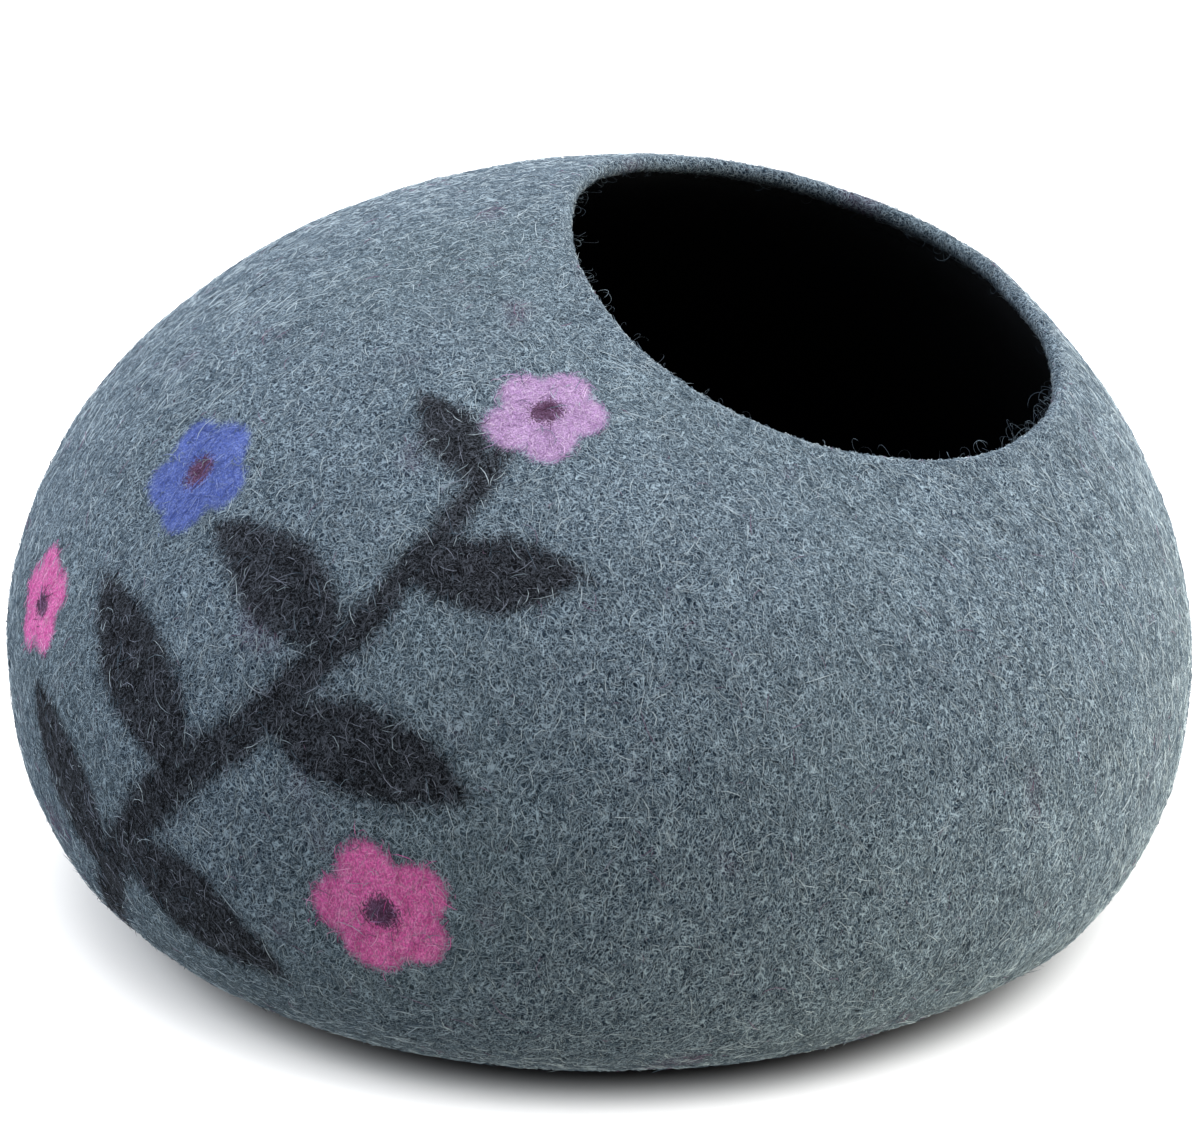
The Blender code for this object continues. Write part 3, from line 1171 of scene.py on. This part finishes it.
def sun(name, azimuth, elevation, strength, spread, colour=(1, 1, 1)):
    """A far soft light from that direction. Azimuth 0 is +X, 90 is +Y."""
    data = bpy.data.lights.new(name, "SUN")
    data.energy = strength
    data.angle = math.radians(spread)
    data.color = colour
    lamp = bpy.data.objects.new(name, data)
    bpy.context.scene.collection.objects.link(lamp)
    a, e = math.radians(azimuth), math.radians(elevation)
    way = Vector((math.cos(e) * math.cos(a), math.cos(e) * math.sin(a), math.sin(e)))
    lamp.rotation_euler = way.to_track_quat("Z", "Y").to_euler()
    return lamp


def light():
    """White walls beside and behind the cave, a darker room in front of it, and a big soft light over it."""
    world = bpy.data.worlds.new("studio")
    bpy.context.scene.world = world
    world.use_nodes = True
    nodes, links = world.node_tree.nodes, world.node_tree.links
    back = nodes["Background"]
    place = nodes.new("ShaderNodeTexCoord")
    parts = nodes.new("ShaderNodeSeparateXYZ")
    links.new(place.outputs["Generated"], parts.inputs[0])

    def along(axis, low, high, to_low, to_high):
        node = nodes.new("ShaderNodeMapRange")
        node.interpolation_type = "SMOOTHSTEP"
        links.new(parts.outputs[axis], node.inputs["Value"])
        node.inputs["From Min"].default_value = low
        node.inputs["From Max"].default_value = high
        node.inputs["To Min"].default_value = to_low
        node.inputs["To Max"].default_value = to_high
        return node.outputs["Result"]

    def times(a, b):
        node = nodes.new("ShaderNodeMath")
        node.operation = "MULTIPLY"
        links.new(a, node.inputs[0])
        links.new(b, node.inputs[1])
        return node.outputs[0]

    front = along("Y", -0.95, 0.25, WALL_FRONT, WALL_SIDES)
    right = along("X", 0.76, 1.0, 1.0, WALL_RIGHT)
    left = along("X", -1.0, -0.6, WALL_LEFT, 1.0)
    above = along("Z", -0.13, -0.02, 0.0, 1.0)
    below = times(
        along("Z", -0.13, -0.02, FLOOR_BOUNCE, 0.0),
        along("Z", -1.0, -0.45, 0.15, 1.0),
    )
    total = nodes.new("ShaderNodeMath")
    total.operation = "ADD"
    links.new(times(times(front, times(right, left)), above), total.inputs[0])
    # The right side of the floor is the brightest seen from the felt above it.
    patch = nodes.new("ShaderNodeMath")
    patch.operation = "MULTIPLY_ADD"
    links.new(
        times(along("X", 0.20, 0.72, 0.0, 1.0), along("Z", -0.45, -0.15, 1.0, 0.20)),
        patch.inputs[0],
    )
    patch.inputs[1].default_value = 13.0
    patch.inputs[2].default_value = 1.0
    links.new(times(below, patch.outputs[0]), total.inputs[1])
    links.new(total.outputs[0], back.inputs["Strength"])
    # The floor's bounce is warmer than the walls on the right, and cooler on the left.
    bounce = nodes.new("ShaderNodeMix")
    bounce.data_type = "RGBA"
    links.new(along("X", -0.6, 0.4, 0.0, 1.0), bounce.inputs[0])
    bounce.inputs[6].default_value = (0.91, 0.97, 1.02, 1.0)
    bounce.inputs[7].default_value = (1.0, 0.945, 0.78, 1.0)
    warmth = nodes.new("ShaderNodeMix")
    warmth.data_type = "RGBA"
    links.new(above, warmth.inputs[0])
    links.new(bounce.outputs[2], warmth.inputs[6])
    # The walls too, a little.
    walls = nodes.new("ShaderNodeMix")
    walls.data_type = "RGBA"
    links.new(along("X", -0.8, 0.8, 0.0, 1.0), walls.inputs[0])
    walls.inputs[6].default_value = (0.955, 0.99, 1.045, 1.0)
    walls.inputs[7].default_value = (1.06, 1.0, 0.945, 1.0)
    links.new(walls.outputs[2], warmth.inputs[7])
    links.new(warmth.outputs[2], back.inputs["Color"])
    sun("overhead_softbox", 28, 71, KEY, 80)
    # Two low soft lights on the floor alone, so that it stays white up to the cave's shadow.
    lit = bpy.data.collections.new("floor_only")
    lit.objects.link(bpy.data.objects["floor"])
    lit.objects.link(bpy.data.objects["floor_under"])
    for side, azimuth in (("left", -122), ("right", -48)):
        fill = sun("floor_fill_" + side, azimuth, 50, FLOOR_FILL / 2, 50)
        fill.light_linking.receiver_collection = lit


def camera():
    data = bpy.data.cameras.new("camera")
    data.sensor_width = 36.0
    data.sensor_fit = "HORIZONTAL"
    data.lens = 141.575
    data.clip_start = 0.05
    data.clip_end = 60.0
    view = bpy.data.objects.new("camera", data)
    bpy.context.scene.collection.objects.link(view)
    target = Vector((0.000706, -0.001275, 0.141525))
    view.location = Vector((0.000706, -1.84672, 0.912465))
    way = view.location - target
    view.rotation_euler = way.to_track_quat("Z", "Y").to_euler()
    bpy.context.scene.camera = view


bpy.context.scene.view_settings.view_transform = "Standard"
camera()
stage()
light()
build()

bpy.context.view_layer.update()
